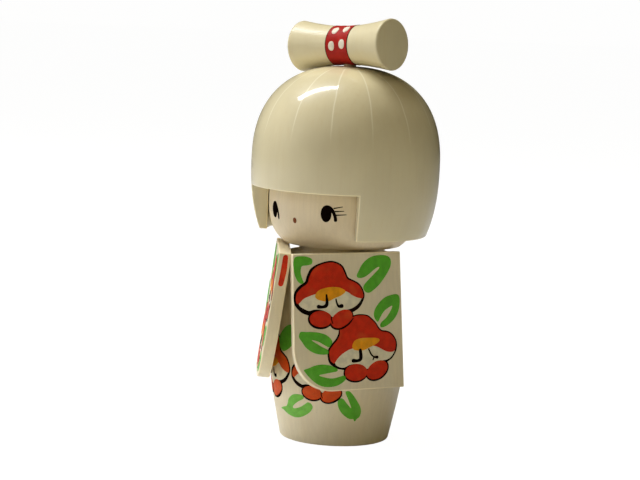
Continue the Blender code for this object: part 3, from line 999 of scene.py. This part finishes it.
# %% The red lining stroke
def lining_mesh():
    board = sleeve_frame(-1)
    across = Vector((SLEEVE_MITRE, -SLEEVE_THICKNESS, 0.0))
    ahead = Vector((-SLEEVE_THICKNESS, -SLEEVE_MITRE, 0.0)).normalized()
    width = across.length
    place = Matrix((across.normalized(), Vector((0.0, 0.0, -1.0)), ahead)).transposed().to_4x4()
    place.translation = (SLEEVE_SETBACK, 0.0, 0.0)
    middle = width * 0.55
    outline = stroke(
        [(middle, 1.6), (middle + 0.1, 7.0), (middle - 0.2, 12.0)], [2.1, 2.4, 2.1],
    )
    return moved(coat([outline], 0.12), board @ place)


piece(lining_mesh(), "right_sleeve_lining", "torso", red, sharp=60.0, weighted=True)

# %% [markdown]
# ## Flowers round the skirt
# The same flower is painted twice on the body, in a warmer orange, with leaves between. The films
# are made flat, cut into narrow strips both ways, and then rolled onto the turned surface, so
# that they follow its curve closely.

# %% Roll films onto a turned surface
def sliced(bm, pitch):
    """Cuts flat films by a grid of planes, so that they can bend."""
    for axis in (0, 1):
        reach = [vert.co[axis] for vert in bm.verts]
        count = int((max(reach) - min(reach)) / pitch) + 1
        normal = Vector((0.0, 0.0, 0.0))
        normal[axis] = 1.0
        for place in spaced(min(reach), max(reach), count + 2)[1:-1]:
            whole = bm.verts[:] + bm.edges[:] + bm.faces[:]
            at = normal * place
            bmesh.ops.bisect_plane(bm, geom=whole, dist=0.001, plane_co=at, plane_no=normal)
    return bm


def rolled(bm, girth, radius_at):
    """Rolls films about Z: x becomes an angle from -Y at that girth, y the height, z the depth."""
    for vert in bm.verts:
        angle = vert.co.x / girth
        height = vert.co.y
        radius = radius_at(height) + vert.co.z
        vert.co = (radius * math.sin(angle), -radius * math.cos(angle), height)
    return bm


BODY_GIRTH = 27.3


def around(girth, points):
    """Points given as (degrees from straight ahead, height), as (arc length, height)."""
    return [(math.radians(angle) * girth, height) for angle, height in points]


# %% [markdown]
# Places on the skirt are degrees from straight ahead and millimetres of height, which a painter
# can find while the body is still on the lathe.

# %% Paint the skirt
SKIRT_FLOWERS = [(-82.6, 46.4, 1.0), (-15.2, 43.9, 0.87)]   # each flower's corner, and its scale
SKIRT_LEAVES = {
    "green": [
        [
            (-36.0, 41.0), (-31.0, 44.4), (-25.0, 46.6), (-18.0, 47.6), (-10.0, 47.0),
            (-6.0, 45.2), (-10.0, 42.0), (-15.0, 39.4), (-20.0, 37.5), (-26.0, 36.4),
            (-31.0, 37.4), (-34.6, 39.2),
        ],
        [
            (37.7, 23.2), (40.8, 23.3), (44.4, 21.7), (48.6, 19.1), (52.1, 16.6), (53.3, 14.5),
            (52.3, 12.6), (49.9, 11.7), (48.8, 10.9), (47.4, 10.9), (46.4, 11.7), (42.6, 11.8),
            (37.3, 13.3), (33.3, 15.3), (31.1, 17.8), (31.5, 19.7), (33.7, 20.4), (36.2, 19.9),
            (39.3, 18.2), (43.4, 16.3), (41.7, 18.4), (39.3, 20.7), (37.7, 22.3),
        ],
        [
            (-70.0, 23.0), (-73.5, 23.2), (-77.0, 21.5), (-81.0, 19.0), (-84.6, 16.4),
            (-85.6, 14.3), (-84.6, 12.5), (-80.2, 11.2), (-75.0, 11.8), (-70.0, 13.2),
            (-66.0, 15.3), (-64.0, 17.8), (-64.4, 19.5), (-66.4, 20.2), (-68.8, 19.8),
            (-71.8, 18.1), (-75.8, 16.2), (-74.1, 18.3), (-71.8, 20.6), (-70.0, 22.1),
        ],
    ],
    "pale_green": [
        [
            (-31.5, 12.7), (-26.4, 13.7), (-22.0, 14.3), (-19.6, 15.7), (-17.6, 17.7),
            (-13.1, 19.5), (-7.8, 20.3), (-2.2, 20.3), (-0.1, 19.6), (-0.9, 18.7), (-4.5, 17.8),
            (-8.7, 16.6), (-12.4, 15.2), (-13.0, 14.2), (-9.6, 14.3), (-4.3, 15.2), (0.2, 16.5),
            (3.7, 17.6), (6.8, 17.2), (8.4, 15.8), (6.3, 14.0), (1.9, 12.4), (-4.3, 11.0),
            (-11.3, 10.4), (-18.4, 10.8), (-23.7, 11.6), (-27.3, 12.3),
        ],
    ],
}


def skirt_outlines(colour):
    """The flower's outlines in one colour, for every place where it is painted on the skirt."""
    shapes = []
    for angle, top, size in SKIRT_FLOWERS:
        corner = Vector((math.radians(angle) * BODY_GIRTH, top))
        for outline in UPPER_FLOWER[colour]:
            shapes.append([corner + Vector((x * size, -y * size)) for x, y, *_ in outline])
    return shapes


skirt_coats = {colour: skirt_outlines(colour) for colour in UPPER_FLOWER}
for colour, leaves in SKIRT_LEAVES.items():
    skirt_coats[colour] = [eased(around(BODY_GIRTH, leaf)) for leaf in leaves]
for colour, outlines in skirt_coats.items():
    height, slot, finish = COATS[colour]
    if colour == "red":
        slot, finish = "orange_paint", paints["orange"]
    films = rolled(sliced(coat(outlines, height), 1.6), BODY_GIRTH, body_radius)
    piece(films, f"skirt_{colour}", "torso", finish, sharp=60.0)

# %% [markdown]
# ## The face's features
# Both eyes look to the doll's left: a tall oval, and a lid that starts at its top, follows its
# left side and ends in a blunt foot, with a sliver of bare wood between. The left eye has three
# lashes. The mouth is one small dab.

# %% Eyes, lashes and mouth
LEFT_LID = [
    (24.4, 96.2), (26.6, 97.05), (29.4, 96.9), (32.0, 95.9), (34.0, 94.0), (35.0, 92.5),
    (35.3, 91.2), (34.4, 90.8), (33.0, 91.0), (32.7, 92.2), (32.0, 93.3), (30.8, 94.3),
    (28.0, 95.0),
]
RIGHT_LID = [
    (-25.2, 96.1), (-23.2, 96.0), (-21.2, 95.0), (-19.4, 93.4), (-18.2, 91.6), (-18.2, 90.0),
    (-19.0, 89.2), (-20.0, 89.8), (-20.1, 91.0), (-21.0, 92.2), (-22.4, 93.2), (-24.0, 94.2),
]
LASHES = [
    [(32.6, 96.0), (38.8, 96.75)], [(33.4, 94.8), (40.0, 95.1)], [(34.4, 93.4), (41.8, 93.75)],
]


def eye_outlines():
    ovals = [((26.8, 93.7), 4.1), ((-25.2, 92.9), 4.3)]
    shapes = []
    for (angle, height), half_width in ovals:
        centre = around(FACE_RADIUS, [(angle, height)])[0]
        shapes.append(oval(centre, math.radians(half_width) * FACE_RADIUS, 3.3))
    shapes += [eased(around(FACE_RADIUS, lid)) for lid in (LEFT_LID, RIGHT_LID)]
    shapes += [stroke(around(FACE_RADIUS, lash), [0.5, 0.28]) for lash in LASHES]
    return shapes


eyes = rolled(sliced(coat(eye_outlines(), 0.07), 1.2), FACE_RADIUS, face_radius)
piece(eyes, "eyes", "head", black, sharp=60.0)

MOUTH_RED = (0.22, 0.055, 0.012, 1.0)
mouth_paint = brush_paint("mouth paint", MOUTH_RED, (0.30, 0.10, 0.03, 1.0))
lips = oval((0.1, 89.9), 0.9, 1.15, count=20)
mouth = rolled(sliced(coat([lips], 0.07), 0.8), FACE_RADIUS, face_radius)
piece(mouth, "mouth", "head", mouth_paint, sharp=60.0)

# %% [markdown]
# ## The ribbon on the bun
# The ribbon is a red band painted round the spool's waist, with a thin dark line at each edge
# and cream dots in pairs. The band is turned like the spool, a hair larger, and the dots are
# rolled onto it.

# %% Band, edge lines and dots
def ring_on_bun(low, high, height):
    """A painted ring round the spool between two places along it."""
    steps = spaced(low, high, max(3, int((high - low) / 0.8)))
    outside = [(bun_radius(along) + height, along) for along in steps]
    inside = [(bun_radius(along) - SUNK, along) for along in reversed(steps)]
    bm = bmesh.new()
    verts = [bm.verts.new((radius, 0.0, along)) for radius, along in outside + inside]
    edges = [bm.edges.new((vert, verts[index - 1])) for index, vert in enumerate(verts)]
    bmesh.ops.spin(
        bm, geom=verts + edges, cent=(0.0, 0.0, 0.0), axis=(0.0, 0.0, 1.0),
        angle=math.tau, steps=128, use_merge=True,
    )
    return bm


BAND, BAND_HEIGHT = (-5.0, 6.2), 0.12
band = moved(ring_on_bun(*BAND, BAND_HEIGHT), BUN_LIE)
ribbon_red = brush_paint("ribbon paint", (0.40, 0.012, 0.006, 1.0), (0.50, 0.03, 0.02, 1.0), 0.3)
piece(band, "ribbon_band", "head", ribbon_red, sharp=60.0)
LINES = [(BAND[0] - 0.05, BAND[0] + 0.2), (BAND[1] - 0.2, BAND[1] + 0.05)]
lines = merged([ring_on_bun(*reach, BAND_HEIGHT + 0.02) for reach in LINES])
piece(moved(lines, BUN_LIE), "ribbon_edges", "head", black, sharp=60.0)

DOT_COLUMNS = {-1.9: 0.0, 3.4: 5.0}     # place along the spool, and how far round it is ahead
DOT_ROWS = [-2.0 + 51.0 * row for row in range(4)]


def dot_outlines():
    """Dots by their place along the spool and their angle from straight ahead, over the top."""
    return [
        oval((-math.radians(row + ahead) * BUN_WAIST_RADIUS, along), 1.9, 1.5, count=24)
        for row in DOT_ROWS
        for along, ahead in DOT_COLUMNS.items()
    ]


def onto_bun(bm):
    """Rolls films onto the spool. Angle 0 faces ahead, and positive angles go down from there."""
    spun = rolled(bm, BUN_WAIST_RADIUS, lambda along: bun_radius(along) + BAND_HEIGHT)
    return moved(spun, BUN_LIE)


cream = brush_paint("cream dot paint", (0.80, 0.72, 0.56, 1.0), (0.74, 0.58, 0.42, 1.0))
dots = onto_bun(sliced(coat(dot_outlines(), 0.06), 1.2))
piece(dots, "ribbon_dots", "head", cream, sharp=60.0)

# %% [markdown]
# ## Setting
# The doll stands on a plain pale floor. The floor that is seen gives the doll no light, because
# a large glowing sheet would flatten it. A second, unseen one just under it is the bounce card.

# %% Floor and backdrop
PAPER_WHITE = (1.0, 1.0, 0.995, 1.0)


def stage_piece(bm, name, finish, seen_only):
    """A piece of the studio. What is seen only doesn't light the doll, and the rest isn't seen."""
    made = mesh_object(bm, name)
    made.data.materials.append(finish.material)
    made.data.shade_smooth()
    made.visible_camera = seen_only
    made.visible_diffuse = made.visible_glossy = made.visible_shadow = not seen_only


def flat(size, height):
    bm = bmesh.new()
    bmesh.ops.create_grid(bm, x_segments=8, y_segments=8, size=size)
    return moved(bm, Matrix.Translation((0.0, 0.0, height)))


def set_stage():
    paper = Finish("pale paper", Roughness=0.95, Specular_IOR_Level=0.0)
    fleck = paper.noise((30.0, 30.0, 30.0), 2.0)
    paper.set(Base_Color=paper.mix(fleck, (0.11, 0.11, 0.108, 1.0), (0.12, 0.12, 0.118, 1.0)))
    paper.set(Emission_Color=PAPER_WHITE, Emission_Strength=0.985)
    stage_piece(flat(9.0, 0.0), "floor", paper, True)
    card = Finish("bounce card", Roughness=0.95, Specular_IOR_Level=0.0)
    card.set(Base_Color=(0.91, 0.91, 0.90, 1.0))
    card.set(Emission_Color=(1.0, 0.95, 0.62, 1.0), Emission_Strength=0.01)
    stage_piece(flat(4.0, -0.0004), "bounce_card", card, False)
    wall = Finish("backdrop", Roughness=1.0, Specular_IOR_Level=0.0)
    wall.set(Base_Color=(0.0, 0.0, 0.0, 1.0), Emission_Color=PAPER_WHITE, Emission_Strength=0.99)
    bm = bmesh.new()
    bmesh.ops.create_uvsphere(bm, u_segments=48, v_segments=24, radius=8.5)
    bmesh.ops.reverse_faces(bm, faces=bm.faces[:])
    stage_piece(bm, "backdrop", wall, True)


set_stage()
print("floor, bounce card and backdrop set")

# %% [markdown]
# The main light is a long soft lamp, high on the doll's right. Only this one is mirrored in the
# lacquer, as one bright streak over the crown. Three broad windows on the same side spread its
# light, a warm lamp above lights the crown and the spool, and two weak ones near the viewer keep
# the shaded side readable.

# %% Lamps
def towards(heading_degrees, elevation):
    """A direction from the doll. Heading 0 is straight ahead, and 90 is the doll's left."""
    around_axis, above = math.radians(heading_degrees), math.radians(elevation)
    flat_share = math.cos(above)
    across, ahead = math.sin(around_axis) * flat_share, math.cos(around_axis) * flat_share
    return Vector((across, -ahead, math.sin(above)))


def lamp(name, place, distance, size, power, colour=(1.0, 1.0, 1.0), along=None, mirrored=False):
    """A soft rectangular lamp that faces the head. along is the direction of its long side."""
    light = bpy.data.lights.new(name, "AREA")
    light.shape = "RECTANGLE"
    light.size, light.size_y = size
    light.energy = power
    light.color = colour
    away = towards(*place)
    long_side = along or Vector((0.0, 0.0, 1.0)).cross(away)
    long_side = (long_side - away * long_side.dot(away)).normalized()
    aim = Matrix((long_side, away.cross(long_side), away)).transposed().to_4x4()
    aim.translation = Vector((0.0, 0.0, 0.1)) + away * distance
    holder = bpy.data.objects.new(name, light)
    holder.matrix_world = aim
    holder.visible_glossy = mirrored
    bpy.context.scene.collection.objects.link(holder)


streak = towards(-119.0, 80.0) - towards(-74.0, 45.0)
lamp("streak lamp", (-82.0, 63.0), 0.9, (0.55, 0.10), 6.3, (0.91, 0.94, 1.0), streak, True)
lamp("high side window", (-95.0, 55.0), 1.2, (0.7, 0.7), 3.4)
lamp("low side window", (-85.0, 25.0), 1.2, (0.8, 0.8), 1.6, (0.87, 0.91, 1.0))
lamp("front side window", (-50.0, 20.0), 1.3, (0.8, 0.8), 4.0, (0.90, 0.90, 1.0))
lamp("viewer's fill", (35.0, 25.0), 1.3, (0.8, 0.8), 2.0, (1.0, 0.86, 0.45))
lamp("front fill", (-10.0, 30.0), 1.3, (0.8, 0.8), 0.6, (0.0, 0.18, 1.0))
lamp("top lamp", (0.0, 88.0), 1.2, (0.8, 0.8), 3.3, (1.0, 0.85, 0.60))

room = bpy.data.worlds.new("room")
bpy.context.scene.world = room
room.use_nodes = True
room.node_tree.nodes["Background"].inputs["Color"].default_value = (1.0, 1.0, 1.0, 1.0)
room.node_tree.nodes["Background"].inputs["Strength"].default_value = 0.002
bpy.context.scene.view_settings.view_transform = "Standard"
print("lamps:", ", ".join(light.name for light in bpy.data.lights))

# %% [markdown]
# The camera stands at the doll's left front, a little above its middle, and leans slightly. It
# stands well back with a long lens, so that upright edges stay nearly parallel.

# %% Camera
CAMERA_HEADING, CAMERA_ELEVATION, CAMERA_ROLL = 29.344, 6.984, 2.45
CAMERA_DISTANCE, CAMERA_LENS = 808.421, 112.5
AIM_ACROSS, AIM_HEIGHT = -8.972, 79.792


def set_camera():
    turn, roll = math.radians(CAMERA_HEADING), math.radians(CAMERA_ROLL)
    back = towards(CAMERA_HEADING, CAMERA_ELEVATION)
    across = Vector((math.cos(turn), math.sin(turn), 0.0))
    up = back.cross(across)
    aim = across * AIM_ACROSS + Vector((0.0, 0.0, AIM_HEIGHT))
    leaning_across = across * math.cos(roll) + up * math.sin(roll)
    leaning_up = up * math.cos(roll) - across * math.sin(roll)
    stand = Matrix((leaning_across, leaning_up, back)).transposed().to_4x4()
    stand.translation = (aim + back * CAMERA_DISTANCE) * MM
    camera = bpy.data.cameras.new("camera")
    camera.lens = CAMERA_LENS
    camera.sensor_width = 36.0
    holder = bpy.data.objects.new("camera", camera)
    holder.matrix_world = stand
    bpy.context.scene.collection.objects.link(holder)
    bpy.context.scene.camera = holder


set_camera()
print(f"camera {CAMERA_DISTANCE:.0f} mm away, with a {CAMERA_LENS} mm lens")
